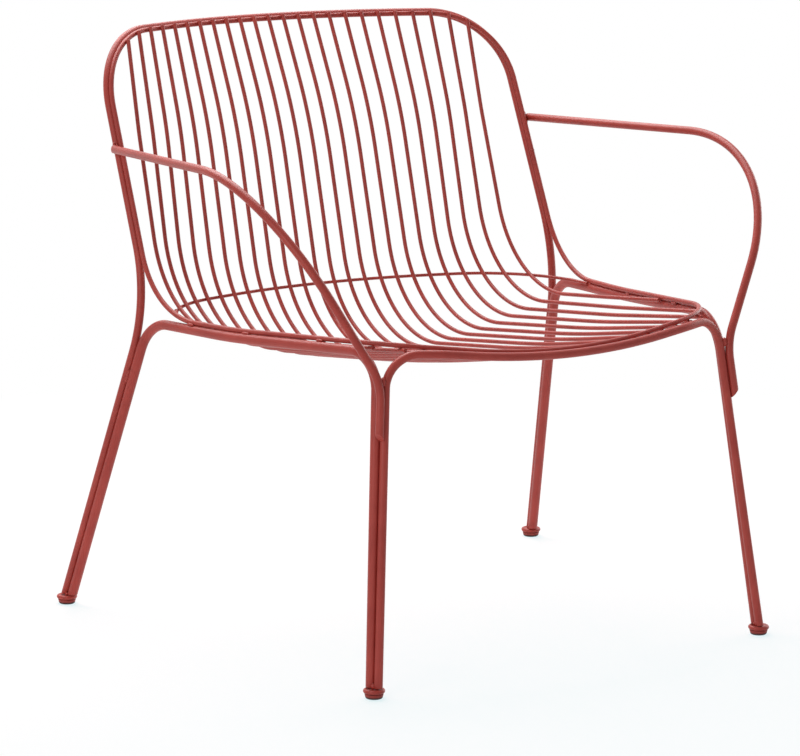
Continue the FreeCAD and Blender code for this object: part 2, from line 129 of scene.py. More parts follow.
def new_tree(name, inputs):
    """Node tree that takes and gives geometry, with one named input for each size or finish."""
    tree = bpy.data.node_groups.new(name, "GeometryNodeTree")
    tree.interface.new_socket("Geometry", in_out="INPUT", socket_type="NodeSocketGeometry")
    for label, kind in inputs.items():
        tree.interface.new_socket(label, in_out="INPUT", socket_type=kind)
    tree.interface.new_socket("Geometry", in_out="OUTPUT", socket_type="NodeSocketGeometry")
    return tree, tree.nodes.new("NodeGroupInput").outputs, tree.nodes.new("NodeGroupOutput").inputs


def stored(tree, name, kind):
    """Output that reads a value kept with each point."""
    reader = tree.nodes.new("GeometryNodeInputNamedAttribute")
    reader.data_type = kind
    reader.inputs["Name"].default_value = name
    return reader.outputs["Attribute"]


def bent_line_tree():
    """Straight runs through the corners, each corner rounded to the radius stored with it."""
    tree, given, result = new_tree("bent_line", {"Bend Steps": "NodeSocketInt"})
    join = tree.links.new
    runs = tree.nodes.new("GeometryNodeMeshToCurve")
    join(given["Geometry"], runs.inputs["Mesh"])
    rounded = tree.nodes.new("GeometryNodeFilletCurve")
    rounded.mode = "POLY"
    join(runs.outputs["Curve"], rounded.inputs["Curve"])
    join(given["Bend Steps"], rounded.inputs["Count"])
    join(stored(tree, "bend", "FLOAT"), rounded.inputs["Radius"])
    join(rounded.outputs["Curve"], result["Geometry"])
    return tree


def realized_and_coated(tree, geometry, finish, result):
    """Ends a tree: plain geometry with its finish."""
    whole = tree.nodes.new("GeometryNodeRealizeInstances")
    coated = tree.nodes.new("GeometryNodeSetMaterial")
    tree.links.new(geometry, whole.inputs["Geometry"])
    tree.links.new(whole.outputs["Geometry"], coated.inputs["Geometry"])
    tree.links.new(finish, coated.inputs["Material"])
    tree.links.new(coated.outputs["Geometry"], result["Geometry"])


def bent_bar_tree(line_tree):
    """Round bar along a bent line, closed at both ends."""
    inputs = {"Bend Steps": "NodeSocketInt", "Diameter": "NodeSocketFloat", "Sides": "NodeSocketInt",
              "Finish": "NodeSocketMaterial"}
    tree, given, result = new_tree("bent_bar", inputs)
    add = tree.nodes.new
    join = tree.links.new
    line = add("GeometryNodeGroup")
    line.node_tree = line_tree
    join(given["Geometry"], line.inputs["Geometry"])
    join(given["Bend Steps"], line.inputs["Bend Steps"])
    half = add("ShaderNodeMath")
    half.operation = "DIVIDE"
    half.inputs[1].default_value = 2.0
    join(given["Diameter"], half.inputs[0])
    section = add("GeometryNodeCurvePrimitiveCircle")
    join(given["Sides"], section.inputs["Resolution"])
    join(half.outputs["Value"], section.inputs["Radius"])
    swept = add("GeometryNodeCurveToMesh")
    swept.inputs["Fill Caps"].default_value = True
    join(line.outputs["Geometry"], swept.inputs["Curve"])
    join(section.outputs["Curve"], swept.inputs["Profile Curve"])
    realized_and_coated(tree, swept.outputs["Mesh"], given["Finish"], result)
    return tree


def grow(obj, tree, settings):
    """Runs a tree on an object and leaves the result as the object's own plain mesh."""
    modifier = obj.modifiers.new(tree.name, "NODES")
    modifier.node_group = tree
    for socket in tree.interface.items_tree:
        if socket.in_out == "INPUT" and socket.name in settings:
            modifier[socket.identifier] = settings[socket.name]
    bpy.context.scene.collection.objects.link(obj)
    grown = bpy.data.meshes.new_from_object(obj.evaluated_get(bpy.context.evaluated_depsgraph_get()))
    obj.modifiers.remove(modifier)
    obj.data = grown
    return obj


def corner_chain(name, corners, bends):
    """Object whose points are the corners of a bar, each with the radius of its bend."""
    chain = bpy.data.meshes.new(name)
    chain.from_pydata(corners, [(k, k + 1) for k in range(len(corners) - 1)], [])
    chain.attributes.new("bend", "FLOAT", "POINT").data.foreach_set("value", [0.0] + bends + [0.0])
    return bpy.data.objects.new(name, chain)


def bent_bar(node, corners, bends, diameter, sides=bar_sides):
    """Coated bar that stands for a CAD node."""
    chain = corner_chain(f"{node}_coated", corners, bends)
    settings = {"Bend Steps": bend_steps, "Diameter": diameter, "Sides": sides, "Finish": red_coat}
    return grow(chain, bar_tree, settings)


def saw_off(bar, place, away):
    """Takes off what lies beyond a plane and closes the cut."""
    work = bmesh.new()
    work.from_mesh(bar.data)
    everything = work.verts[:] + work.edges[:] + work.faces[:]
    cut = bmesh.ops.bisect_plane(work, geom=everything, plane_co=place, plane_no=away, clear_outer=True)
    rings = [part for part in cut["geom_cut"] if isinstance(part, bmesh.types.BMEdge)]
    bmesh.ops.edgeloop_fill(work, edges=rings)
    work.to_mesh(bar.data)
    work.free()


def on_frame(piece, slot, *nodes):
    """Fixes a piece to the chair and hides the nodes named, which it stands for. The slot is not used."""
    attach(piece, "root")
    if nodes:
        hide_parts(*nodes)


def finish_bar(bar, node):
    """Breaks the edges of the cut ends, smooths the round sides and fixes the bar to the chair."""
    work = bmesh.new()
    work.from_mesh(bar.data)
    bmesh.ops.recalc_face_normals(work, faces=work.faces)
    ends = [edge for edge in work.edges if edge.is_manifold and edge.calc_face_angle() > cut_edge_angle]
    bmesh.ops.bevel(work, geom=ends, offset=cut_edge, segments=2, profile=0.5, affect="EDGES",
                    clamp_overlap=True)
    for face in work.faces:
        face.smooth = len(face.verts) <= 4
    work.to_mesh(bar.data)
    work.free()
    on_frame(bar, "painted_steel", node)


def mirrored(point):
    """The same point or direction on the other side of the chair."""
    return Vector((-point.x, point.y, point.z))


def place_on(start, end, height):
    """Point at a height on the line through two points."""
    return start + (end - start) * ((height - start.z) / (end.z - start.z))


def level(degrees):
    """Level direction, turned from straight back towards the right."""
    return Vector((math.sin(math.radians(degrees)), math.cos(math.radians(degrees)), 0.0))


red_coat = powder_coat("brick_red_coat", coat_deep, coat_pale, coat_roughness)
line_tree = bent_line_tree()
bar_tree = bent_bar_tree(line_tree)
down = Vector((0, 0, -1))
seat_of_bars = Vector((0, 0, collar_top + stand_off))
rear_pair = level(rear_pair_turn)
hoop_foot = rear_foot + rear_pair * (side_bar / 2)
hoop_start = place_on(hoop_foot, hoop_knee, 0.0)
hoop_half = [hoop_corner, hoop_knee, hoop_start]
back_hoop = bent_bar("back_hoop", [mirrored(p) for p in reversed(hoop_half)] + [hoop_bow] + hoop_half,
                     hoop_bends, hoop_bar)
saw_off(back_hoop, seat_of_bars, down)
finish_bar(back_hoop, "back_hoop")

# Rim of the shell
# A thinner bar bent to a closed loop. It is tacked to the front of the back hoop, lies on the side rails
# and dips across the front; its two ends meet in a butt weld half way up the right upright.

rim_bar = 0.006
rim_inset = 0.001
rim_top_drop = 0.001
rim_seat_z = 0.3780
rim_side = Vector((0.2830, -0.0352, 0.3808))
rim_front = Vector((0.2348, -0.2947, 0.3983))
rim_dip = Vector((0.0, -0.3251, 0.3651))
rim_joint_z = 0.530
rim_half_bends = [0.113, 0.900, 0.095]
rim_dip_bend = 0.740
rim_sides = 24

rim_reach = (hoop_bar + rim_bar) / 2 + weld_gap
upright = (hoop_corner - hoop_knee).normalized()
top_rail = (hoop_bow - hoop_corner).normalized()
ahead_of_upright = Vector((1, 0, 0)).cross(upright).normalized()
ahead_of_rail = Vector((-top_rail.y, top_rail.x, 0)).normalized()
rim_on_upright = Vector((-rim_inset, 0, 0)) + ahead_of_upright * math.sqrt(rim_reach ** 2 - rim_inset ** 2)
rim_forward = math.sqrt(rim_reach ** 2 - rim_top_drop ** 2)
rim_on_top_rail = ahead_of_rail * rim_forward - Vector((0, 0, rim_top_drop))
across_corner = top_rail.cross(upright.cross(top_rail))
rim_rise = (rim_on_top_rail - rim_on_upright).dot(across_corner) / upright.dot(across_corner)
rim_corner = hoop_corner + rim_on_upright + upright * rim_rise
rim_bow = hoop_bow + Vector((0, rim_forward / ahead_of_rail.y, -rim_top_drop))
rim_seat = place_on(hoop_corner + rim_on_upright, hoop_knee + rim_on_upright, rim_seat_z)
rim_joint = place_on(rim_corner, rim_seat, rim_joint_z)
rim_half = [rim_seat, rim_side, rim_front]
rim_corners = [rim_joint, rim_corner, rim_bow, mirrored(rim_corner)] + [mirrored(p) for p in rim_half]
rim_corners += [rim_dip] + rim_half[::-1] + [rim_joint]
rim_corner_bend = hoop_bends[1] - rim_inset
rim_bends = [rim_corner_bend, hoop_bends[2] - rim_forward, rim_corner_bend] + rim_half_bends
rim_bends += [rim_dip_bend] + rim_half_bends[::-1]
seat_rim = bent_bar("seat_rim", rim_corners, rim_bends, rim_bar, rim_sides)
finish_bar(seat_rim, "seat_rim")

# Side hoops
# One thicker bar on each side: rear leg, side rail under the rim and front leg. The rear leg lies along
# the back hoop's leg and the front leg along the front hoop's, and each pair is welded together.

front_bar = 0.010
front_foot = Vector((0.2779, -0.3333, leg_aim_z))
front_top = Vector((0.2390, -0.2861, 0.3920))
front_pair_turn_foot = 17.0
front_pair_turn_top = 38.0
rail_gap = 0.0003
side_rail_out = 0.0033
side_rear_z = 0.3685
side_front_z = 0.3880
side_bends = [0.053, 0.900, 0.046]

leg_pair_reach = (hoop_bar + side_bar) / 2 + weld_gap
rear_leg = (hoop_knee - hoop_foot).normalized()
rear_offset = (rear_pair - rear_leg * rear_pair.dot(rear_leg)).normalized() * leg_pair_reach
foot_pair = level(front_pair_turn_foot)
top_pair = level(front_pair_turn_top)
twist_spread = 1 / math.cos(math.radians(front_pair_turn_top - front_pair_turn_foot) / 2)
side_leg_out = (front_bar / 2 + weld_gap) * twist_spread
side_leg_foot = front_foot + foot_pair * side_leg_out
side_leg_top = front_top + top_pair * side_leg_out
rim_on_rail = (rim_bar + side_bar) / 2 + rail_gap
rail_from_rim = Vector((side_rail_out, 0, -math.sqrt(rim_on_rail ** 2 - side_rail_out ** 2)))
side_corners = [
    place_on(hoop_foot - rear_offset, hoop_knee - rear_offset, 0.0),
    place_on(hoop_foot - rear_offset, hoop_knee - rear_offset, side_rear_z),
    rim_side + rail_from_rim,
    place_on(side_leg_foot, side_leg_top, side_front_z),
    place_on(side_leg_foot, side_leg_top, 0.0)]
for node, turned in (("left_side_hoop", mirrored), ("right_side_hoop", Vector)):
    side_hoop = bent_bar(node, [turned(p) for p in side_corners], side_bends, side_bar)
    saw_off(side_hoop, seat_of_bars, down)
    finish_bar(side_hoop, node)

# Front hoop
# One bar for both front legs and the rail across the front. The rail runs just ahead of the rim and
# follows its corner before it turns down.

front_corner_z = 0.3870
front_turn = Vector((0.1750, -0.3166, 0.3848))
front_dip = Vector((0.0, -0.3381, 0.3636))
front_bends = [0.040, 0.104, 0.800, 0.104, 0.040]

front_leg_in = (side_bar / 2 + weld_gap) * twist_spread
front_leg_foot = front_foot - foot_pair * front_leg_in
front_leg_top = front_top - top_pair * front_leg_in
front_corner = place_on(front_leg_foot, front_leg_top, front_corner_z)
front_start = place_on(front_leg_foot, front_leg_top, 0.0)
front_half = [front_turn, front_corner, front_start]
front_corners = [mirrored(p) for p in reversed(front_half)] + [front_dip] + front_half
front_hoop = bent_bar("front_hoop", front_corners, front_bends, front_bar)
saw_off(front_hoop, seat_of_bars, down)
finish_bar(front_hoop, "front_hoop")

# Arms
# Each is one bar whose rear end is cut on a slant and welded to the outside of an upright. It is led
# forward, bent down and welded along the front leg, with a lower end whose slant rises away from the leg.

arm_bar = 0.010
arm_rear_out = 0.009
arm_rear_y = 0.2055
arm_rear_z = 0.5707
arm_front = Vector((0.3765, -0.2459, 0.5873))
arm_foot_z = 0.3550
arm_end_z = 0.2950
arm_end_slant = math.radians(50.0)
arm_rear_slant = math.radians(50.0)
arm_rear_short = 0.002
arm_lie_turn = 67.0
arm_bends = [0.183, 0.068]

arm_lie = level(180.0 - arm_lie_turn)
front_leg = (front_leg_top - front_leg_foot).normalized()
arm_reach = (front_bar + arm_bar) / 2 + weld_gap
arm_side = (arm_lie - front_leg * arm_lie.dot(front_leg)).normalized()
upright_at_arm = place_on(hoop_corner, hoop_knee, arm_rear_z)
arm_rear = Vector((upright_at_arm.x + arm_rear_out, arm_rear_y, arm_rear_z))
to_rear = (arm_rear - arm_front).normalized()
arm_corners = [
    arm_rear + to_rear * arm_bar,
    arm_front,
    place_on(front_leg_foot, front_leg_top, arm_foot_z) + arm_side * arm_reach,
    place_on(front_leg_foot, front_leg_top, arm_end_z - 2 * arm_bar) + arm_side * arm_reach]
arm_end = place_on(arm_corners[-2], arm_corners[-1], arm_end_z)
arm_cut = arm_lie * math.sin(arm_end_slant) + down * math.cos(arm_end_slant)
arm_butt = arm_rear - to_rear * arm_rear_short
outwards = Vector((to_rear.y, -to_rear.x, 0)).normalized()
butt_cut = outwards * math.sin(arm_rear_slant) + to_rear * math.cos(arm_rear_slant)
for node, turned in (("left_arm", mirrored), ("right_arm", Vector)):
    arm = bent_bar(node, [turned(p) for p in arm_corners], arm_bends, arm_bar)
    saw_off(arm, turned(arm_end), turned(arm_cut))
    saw_off(arm, turned(arm_butt), turned(butt_cut))
    finish_bar(arm, node)

# Cross wire
# One thin wire behind the shell's wires at the bend, from one side of the rim round to the other. It
# is spot welded to every wire that it crosses, and its ends lie against the inside of the rim.

cross_bar = 0.004
cross_corner = Vector((0.2791, 0.1620, 0.3774))
cross_bow = Vector((0.0, 0.2284, 0.3798))
cross_end_y = 0.0423
inside_slope = math.radians(35.0)
cross_bends = [0.136, 0.690, 0.136]
cross_sides = 20
across = 0
depth = 1


def thin_line():
    """The bent line alone, as a chain of edges."""
    tree, given, result = new_tree("thin_line", {"Bend Steps": "NodeSocketInt"})
    line = tree.nodes.new("GeometryNodeGroup")
    line.node_tree = line_tree
    chain = tree.nodes.new("GeometryNodeCurveToMesh")
    tree.links.new(given["Geometry"], line.inputs["Geometry"])
    tree.links.new(given["Bend Steps"], line.inputs["Bend Steps"])
    tree.links.new(line.outputs["Geometry"], chain.inputs["Curve"])
    tree.links.new(chain.outputs["Mesh"], result["Geometry"])
    return tree


def centre_line(name, corners, bends):
    """Points along the middle of a bent bar."""
    line = grow(corner_chain(name, corners, bends), thin_tree, {"Bend Steps": bend_steps})
    points = [vertex.co.copy() for vertex in line.data.vertices]
    bpy.data.objects.remove(line)
    return points


def crossing(line, axis, value, rank):
    """Highest ranked place where a line passes a plane across an axis, and its run along that axis."""
    found = []
    for start, end in zip(line, line[1:]):
        low, high = sorted((start[axis], end[axis]))
        if low < high and low <= value <= high:
            run = (end - start) / (end[axis] - start[axis])
            found.append((start + run * (value - start[axis]), run))
    return max(found, key=lambda place: rank(place[0]))


def rightness(point):
    return point.x


thin_tree = thin_line()
rim_line = centre_line("rim_line", rim_corners, rim_bends)
inside_of_rim = Vector((-math.cos(inside_slope), 0, -math.sin(inside_slope)))
cross_on_rim = (rim_bar + cross_bar) / 2 + weld_gap
cross_end = crossing(rim_line, depth, cross_end_y, rightness)[0] + inside_of_rim * cross_on_rim
cross_corners = [mirrored(cross_end), mirrored(cross_corner), cross_bow, cross_corner, cross_end]
cross_wire = bent_bar("cross_wire", cross_corners, cross_bends, cross_bar, cross_sides)
finish_bar(cross_wire, "cross_wire")

# Wires of the shell
# Drawn wires, each with a soft knee in the back, one round bend at the cross wire and a slight hang in the
# seat. At the top they lie on the front of the rim, at the front they pass under it to the front rail. The
# outer two on each side stop at the rim, and the last of all lies against the inside of it.

seat_bar = 0.0050
wire_count = 24
outer_wires = 2
wire_pitch = 0.02195
wire_spread = 0.030
wire_front_spread = 0.018
wire_knee_z = 0.5825
wire_knee_bend = 0.500
wire_lean_middle = 0.521
wire_lean_edge = 0.265
wire_over_top = 0.002
wire_past_rim = 0.003
wire_to_rail = 0.0002
bend_radius = 0.138
hang_place = 0.64
hang_middle = 0.00735
hang_edge = 0.00035
hang_bend = 2.000
bend_z_middle = 0.4474
bend_z_edge = 0.5016
wire_bends = [wire_knee_bend, bend_radius, hang_bend]
wire_sides = 20
contact_rounds = 4
outer_x = wire_pitch * (wire_count - 1) / 2
wire_on_rim = (rim_bar + seat_bar) / 2 + weld_gap
wire_on_cross = (cross_bar + seat_bar) / 2 + weld_gap


def height(point):
    return point.z


def forwardness(point):
    return -point.y


def graded(middle, edge, towards_edge):
    """Value that changes from the middle wires to those at the edge."""
    return middle + (edge - middle) * towards_edge


def slanted(reach, run, normal):
    """Distance in a wire's plane to a bar that passes that plane on a slant."""
    return reach * math.sqrt(1 + run.dot(normal) ** 2)


def polar(angle, length):
    """Vector in a wire's plane, by its angle above straight back and its length."""
    return Vector((0, math.cos(angle), math.sin(angle))) * length


def tangent_angle(point, centre, turn):
    """Direction from the middle of a wire's bend to where a run from the point touches it."""
    away = point - centre
    return math.atan2(away.z, away.y) + turn * math.acos(bend_radius / math.hypot(away.y, away.z))


def seat_bend(knee, centre, ahead_point):
    """Corner of the bend round the centre, between the runs from the knee and to a point ahead."""
    behind = polar(tangent_angle(knee, centre, -1), bend_radius)
    below = polar(tangent_angle(ahead_point, centre, 1), bend_radius)
    return centre + (behind + below) / (1 + behind.dot(below) / bend_radius ** 2)


def wire_corners(x):
    """Corners of a wire right of the middle, from its top end to its front end, and where it is welded."""
    towards_edge = (x / outer_x) ** 2
    lean = graded(wire_lean_middle, wire_lean_edge, towards_edge)
    up = Vector((0, lean, 1)).normalized()
    ahead = Vector((0, -1, lean)).normalized()
    rim_at, rim_run = crossing(rim_line, across, x, height)
    over_top = wire_over_top - abs(rim_run.z) * seat_bar / 2
    top = rim_at + ahead * slanted(wire_on_rim, rim_run, ahead) + up * over_top
    knee = top - up * ((top.z - wire_knee_z) / up.z)

    bend_x = x * (1 + wire_spread)
    bend_z = graded(bend_z_middle, bend_z_edge, towards_edge)
    cross_at, cross_run = crossing(cross_line, across, bend_x, height)
    drop = bend_z - cross_at.z
    dip_angle = math.asin(drop / (bend_radius + wire_on_cross))
    cross_reach = bend_radius + slanted(wire_on_cross, cross_run, polar(-dip_angle, 1))
    centre = Vector((bend_x, cross_at.y - math.sqrt(cross_reach ** 2 - drop ** 2), bend_z))

    front_x = x * (1 + wire_front_spread)
    outermost = x > outer_x - wire_pitch / 2
    if outermost:
        front_at = crossing(rim_line, across, front_x - inside_of_rim.x * wire_on_rim, forwardness)[0]
        end = front_at + inside_of_rim * wire_on_rim
    else:
        front_at, front_run = crossing(rim_line, across, front_x, forwardness)
        under = down
        # The slope of the run and the place where it touches the rim depend on each other.
        for _ in range(contact_rounds):
            end = front_at + under * slanted(wire_on_rim, front_run, under)
            under = polar(tangent_angle(end, centre, 1), 1)
    straight_bend = seat_bend(knee, centre, end)
    hang = straight_bend.lerp(end, hang_place) + down * graded(hang_middle, hang_edge, towards_edge)
    bend = seat_bend(knee, centre, hang)
    if not outermost:
        forward = (end - hang).normalized()
        past = wire_past_rim
        if x < outer_x - (outer_wires - 0.5) * wire_pitch:
            rail, rail_run = crossing(front_line, across, front_x, forwardness)
            rail_back = rail.y + slanted(front_bar / 2, rail_run, Vector((0, 1, 0))) + wire_to_rail
            rail_back += abs(rail_run.y) * seat_bar / 2
            past = (rail_back - end.y) / forward.y
        end = end + forward * past
    knee.x = x + (bend.x - x) * (top.z - knee.z) / (top.z - bend.z)
    welds = {"top": rim_at + ahead * (rim_bar / 2),
             "top run": rim_run.normalized(),
             "cross": cross_at + (centre - cross_at).normalized() * (cross_bar / 2),
             "end": end}
    return [top, knee, bend, hang, end], welds


cross_line = centre_line("cross_line", cross_corners, cross_bends)
front_line = centre_line("front_line", front_corners, front_bends)
wire_welds = []
for number in range(1, wire_count + 1):
    x = wire_pitch * (number - (wire_count + 1) / 2)
    turned = mirrored if x < 0 else Vector
    corners, welds = wire_corners(abs(x))
    wire_welds.append({place: turned(point) for place, point in welds.items()})
    node = f"seat_wire_{number:02d}"
    wire = bent_bar(node, [turned(p) for p in corners], wire_bends, seat_bar, wire_sides)
    finish_bar(wire, node)

# Welds
# Small beads of weld metal where bars touch, coated with the rest. Wires are tacked on their left side and
# at their front end, bars have longer beads in the grooves between them, and a ring closes the rim.
# A tack or bead is given by half its length and half its width.

bead_uneven = 0.22
bead_lump_scale = 1.6
bead_size_spread = 0.12
bead_seed = 7
tack_down = 0.0006
top_tack = (0.0024, 0.0013)
top_tack_aside = 0.0029
top_tack_up = 0.0008
cross_tack = (0.0022, 0.0012)
cross_tack_aside = 0.0024
end_tack = (0.0027, 0.0012)
rail_bead = (0.0065, 0.0018)
rail_bead_aside = 0.0026
rail_bead_places = (0.042, -0.060, -0.185)
rim_ring_half = 0.0019
rim_ring_proud = 0.0004
arm_end_bead = (0.0034, 0.0022)
arm_end_bead_out = 0.0008
arm_end_bead_steps = (-0.0054, 0.0052)
arm_side_bead = (0.0052, 0.0021)
arm_side_bead_aside = 0.0032
arm_crotch_bead = (0.0052, 0.0034)
arm_crotch_out = 0.0012
arm_crotch_z = 0.3558
leg_bead_aside = 0.0034
foot_bead = (0.0034, 0.0025)
foot_bead_z = 0.0138
leg_bead = (0.010, 0.0025)
rear_leg_bead_z = 0.300
front_leg_bead_z = 0.330
to_left = Vector((-1, 0, 0))


def weld_bead_tree():
    """A lumpy bead on each point, drawn out along the direction stored there to the size stored there."""
    tree, given, result = new_tree("weld_beads", {
        "Uneven": "NodeSocketFloat", "Lump Scale": "NodeSocketFloat", "Seed": "NodeSocketInt",
        "Finish": "NodeSocketMaterial"})
    add = tree.nodes.new
    join = tree.links.new
    ball = add("GeometryNodeMeshIcoSphere")
    ball.inputs["Subdivisions"].default_value = 2
    lumps = add("ShaderNodeTexNoise")
    lumps.inputs["Detail"].default_value = 1.0
    join(given["Lump Scale"], lumps.inputs["Scale"])
    height_of_lumps = add("ShaderNodeMapRange")
    height_of_lumps.inputs["To Min"].default_value = -1.0
    join(lumps.outputs["Fac"], height_of_lumps.inputs["Value"])
    lift = add("ShaderNodeMath")
    lift.operation = "MULTIPLY"
    join(height_of_lumps.outputs["Result"], lift.inputs[0])
    join(given["Uneven"], lift.inputs[1])
    outwards = add("ShaderNodeVectorMath")
    outwards.operation = "SCALE"
    join(add("GeometryNodeInputNormal").outputs["Normal"], outwards.inputs["Vector"])
    join(lift.outputs["Value"], outwards.inputs["Scale"])
    lumpy = add("GeometryNodeSetPosition")
    join(ball.outputs["Mesh"], lumpy.inputs["Geometry"])
    join(outwards.outputs["Vector"], lumpy.inputs["Offset"])
    drawn_out = add("FunctionNodeAlignRotationToVector")
    drawn_out.axis = "X"
    join(stored(tree, "along", "FLOAT_VECTOR"), drawn_out.inputs["Vector"])
    varied = add("FunctionNodeRandomValue")
    varied.data_type = "FLOAT"
    limits = {socket.name: socket for socket in varied.inputs if socket.type == "VALUE"}
    limits["Min"].default_value = 1 - bead_size_spread
    limits["Max"].default_value = 1 + bead_size_spread
    join(given["Seed"], varied.inputs["Seed"])
    size = add("ShaderNodeVectorMath")
    size.operation = "SCALE"
    join(stored(tree, "size", "FLOAT_VECTOR"), size.inputs["Vector"])
    join(next(socket for socket in varied.outputs if socket.type == "VALUE"), size.inputs["Scale"])
    laid = add("GeometryNodeInstanceOnPoints")
    join(given["Geometry"], laid.inputs["Points"])
    join(lumpy.outputs["Geometry"], laid.inputs["Instance"])
    join(drawn_out.outputs["Rotation"], laid.inputs["Rotation"])
    join(size.outputs["Vector"], laid.inputs["Scale"])
    realized_and_coated(tree, laid.outputs["Instances"], given["Finish"], result)
    return tree


def bead(place, along, half_length, half_width):
    """One bead of weld metal, drawn out along a direction."""
    size = Vector((half_length, half_width, half_width))
    return {"place": place, "along": along.normalized(), "size": size}


def groove_beads(touching, aside, along, half_length, half_width):
    """One bead on each side of where two bars touch."""
    return [bead(touching + aside * side, along, half_length, half_width) for side in (-1, 1)]


def weld(name, beads):
    """One coated piece for all beads of a kind."""
    points = bpy.data.meshes.new(name)
    points.from_pydata([one["place"] for one in beads], [], [])
    for key in ("along", "size"):
        kept = points.attributes.new(key, "FLOAT_VECTOR", "POINT")
        kept.data.foreach_set("vector", [value for one in beads for value in one[key]])
    settings = {"Uneven": bead_uneven, "Lump Scale": bead_lump_scale, "Seed": bead_seed, "Finish": red_coat}
    welded = grow(bpy.data.objects.new(name, points), bead_tree, settings)
    for face in welded.data.polygons:
        face.use_smooth = True
    on_frame(welded, "painted_steel")


def both_sides(beads):
    """The beads of the right side with their mirror images."""
    return beads + [dict(one, place=mirrored(one["place"]), along=mirrored(one["along"])) for one in beads]


bead_tree = weld_bead_tree()
top_tacks = []
cross_tacks = []
end_tacks = []
for one in wire_welds:
    leftwards = one["top run"] * (1 if one["top run"].x < 0 else -1)
    at_top = one["top"] + leftwards * top_tack_aside - down * top_tack_up
    at_cross = one["cross"] + to_left * cross_tack_aside + down * tack_down
    top_tacks.append(bead(at_top, leftwards, *top_tack))
    cross_tacks.append(bead(at_cross, to_left, *cross_tack))
    end_tacks.append(bead(one["end"] + down * tack_down, to_left, *end_tack))
weld("wire_top_welds", top_tacks)
weld("cross_wire_welds", cross_tacks)
weld("wire_front_welds", end_tacks)

rail_beads = []
for y in rail_bead_places:
    rim_at, rim_run = crossing(rim_line, depth, y, rightness)
    touching = rim_at + rail_from_rim * (rim_bar / 2 / rim_on_rail)
    aside = rail_from_rim.cross(rim_run).normalized() * rail_bead_aside
    rail_beads += groove_beads(touching, aside, rim_run, *rail_bead)
weld("side_rail_welds", both_sides(rail_beads))

weld("rim_joint_weld", [bead(rim_joint, upright, rim_ring_half, rim_bar / 2 + rim_ring_proud)])

to_arm = (arm_butt - upright_at_arm).normalized()
beside_arm = upright.cross(to_arm) * arm_side_bead_aside
arm_weld = upright_at_arm + to_arm * (hoop_bar / 2)
arm_fillet = arm_weld + to_arm * arm_end_bead_out
arm_beads = [bead(arm_fillet + upright * step, upright, *arm_end_bead) for step in arm_end_bead_steps]
arm_beads += groove_beads(arm_weld, beside_arm, upright, *arm_side_bead)
leg_at_crotch = place_on(front_leg_foot, front_leg_top, arm_crotch_z)
arm_crotch = leg_at_crotch + arm_side * (front_bar / 2 + arm_crotch_out)
arm_beads.append(bead(arm_crotch, front_leg, *arm_crotch_bead))
weld("arm_welds", both_sides(arm_beads))

leg_beads = []
beside_rear_leg = rear_leg.cross(rear_pair).normalized() * leg_bead_aside
for z, size in ((foot_bead_z, foot_bead), (rear_leg_bead_z, leg_bead)):
    touching = place_on(hoop_foot, hoop_knee, z) - rear_offset * (hoop_bar / 2 / leg_pair_reach)
    leg_beads += groove_beads(touching, beside_rear_leg, rear_leg, *size)
for z, size in ((foot_bead_z, foot_bead), (front_leg_bead_z, leg_bead)):
    front_at = place_on(front_leg_foot, front_leg_top, z)
    to_side_bar = place_on(side_leg_foot, side_leg_top, z) - front_at
    touching = front_at + to_side_bar.normalized() * (front_bar / 2)
    beside_front_leg = front_leg.cross(to_side_bar).normalized() * leg_bead_aside
    leg_beads += groove_beads(touching, beside_front_leg, front_leg, *size)
weld("leg_welds", both_sides(leg_beads))

# Feet
# Each pair of bars stands on a turned steel collar with a rolled edge, coated with the frame. A moulded
# plastic glide of nearly the same red is pegged into it from below; near the floor it is painted almost
# black as contact shade.

collar_radius = 0.0127
collar_under = 0.0062
collar_dish = 0.0006
collar_middle = 0.0035
glide_radius = 0.0110
glide_foot_radius = 0.0102
glide_middle = 0.0030
glide_gap = 0.0004
glide_top_round = 0.0006
glide_round = 0.0024
# Heights below which the glide is painted dark as contact shade, and above which that painted shade has
# faded.
contact_shade_z = 0.0022
contact_shade_clear_z = 0.0036
shade_line_waver = 0.0008
foot_sides = 48
glide_red = (0.300, 0.034, 0.025, 1.0)
glide_contact_shade = (0.030, 0.006, 0.005, 1.0)


def moulded_plastic(name, low, high):
    """Matt plastic with the fine grain of its mould, painted darker below a wavering line near the floor as
    contact shade.
    """
    plastic, tree = blank_material(name)
    add = tree.nodes.new
    join = tree.links.new
    where = add("ShaderNodeTexCoord").outputs["Object"]
    # Painted contact shade: the colour turns dark below a wavering height near the floor.
    waver = add("ShaderNodeMath")
    waver.operation = "MULTIPLY_ADD"
    waver.inputs[1].default_value = shade_line_waver
    join(noise(tree, where, scale=160.0, detail=2.0), waver.inputs[0])
    parts = add("ShaderNodeSeparateXYZ")
    join(where, parts.inputs["Vector"])
    join(parts.outputs["Z"], waver.inputs[2])
    above = add("ShaderNodeMapRange")
    above.inputs["From Min"].default_value = contact_shade_z
    above.inputs["From Max"].default_value = contact_shade_clear_z
    join(waver.outputs["Value"], above.inputs["Value"])
    shades = add("ShaderNodeValToRGB")
    shades.color_ramp.elements[0].color = low
    shades.color_ramp.elements[1].color = high
    join(above.outputs["Result"], shades.inputs["Fac"])
    grain = raised(tree, noise(tree, where, scale=2600.0, detail=2.0), strength=0.3, distance=0.0001)
    surface = add("ShaderNodeBsdfPrincipled")
    surface.inputs["Roughness"].default_value = 0.62
    join(shades.outputs["Color"], surface.inputs["Base Color"])
    join(grain.outputs["Normal"], surface.inputs["Normal"])
    join(surface.outputs["BSDF"], add("ShaderNodeOutputMaterial").inputs["Surface"])
    return plastic


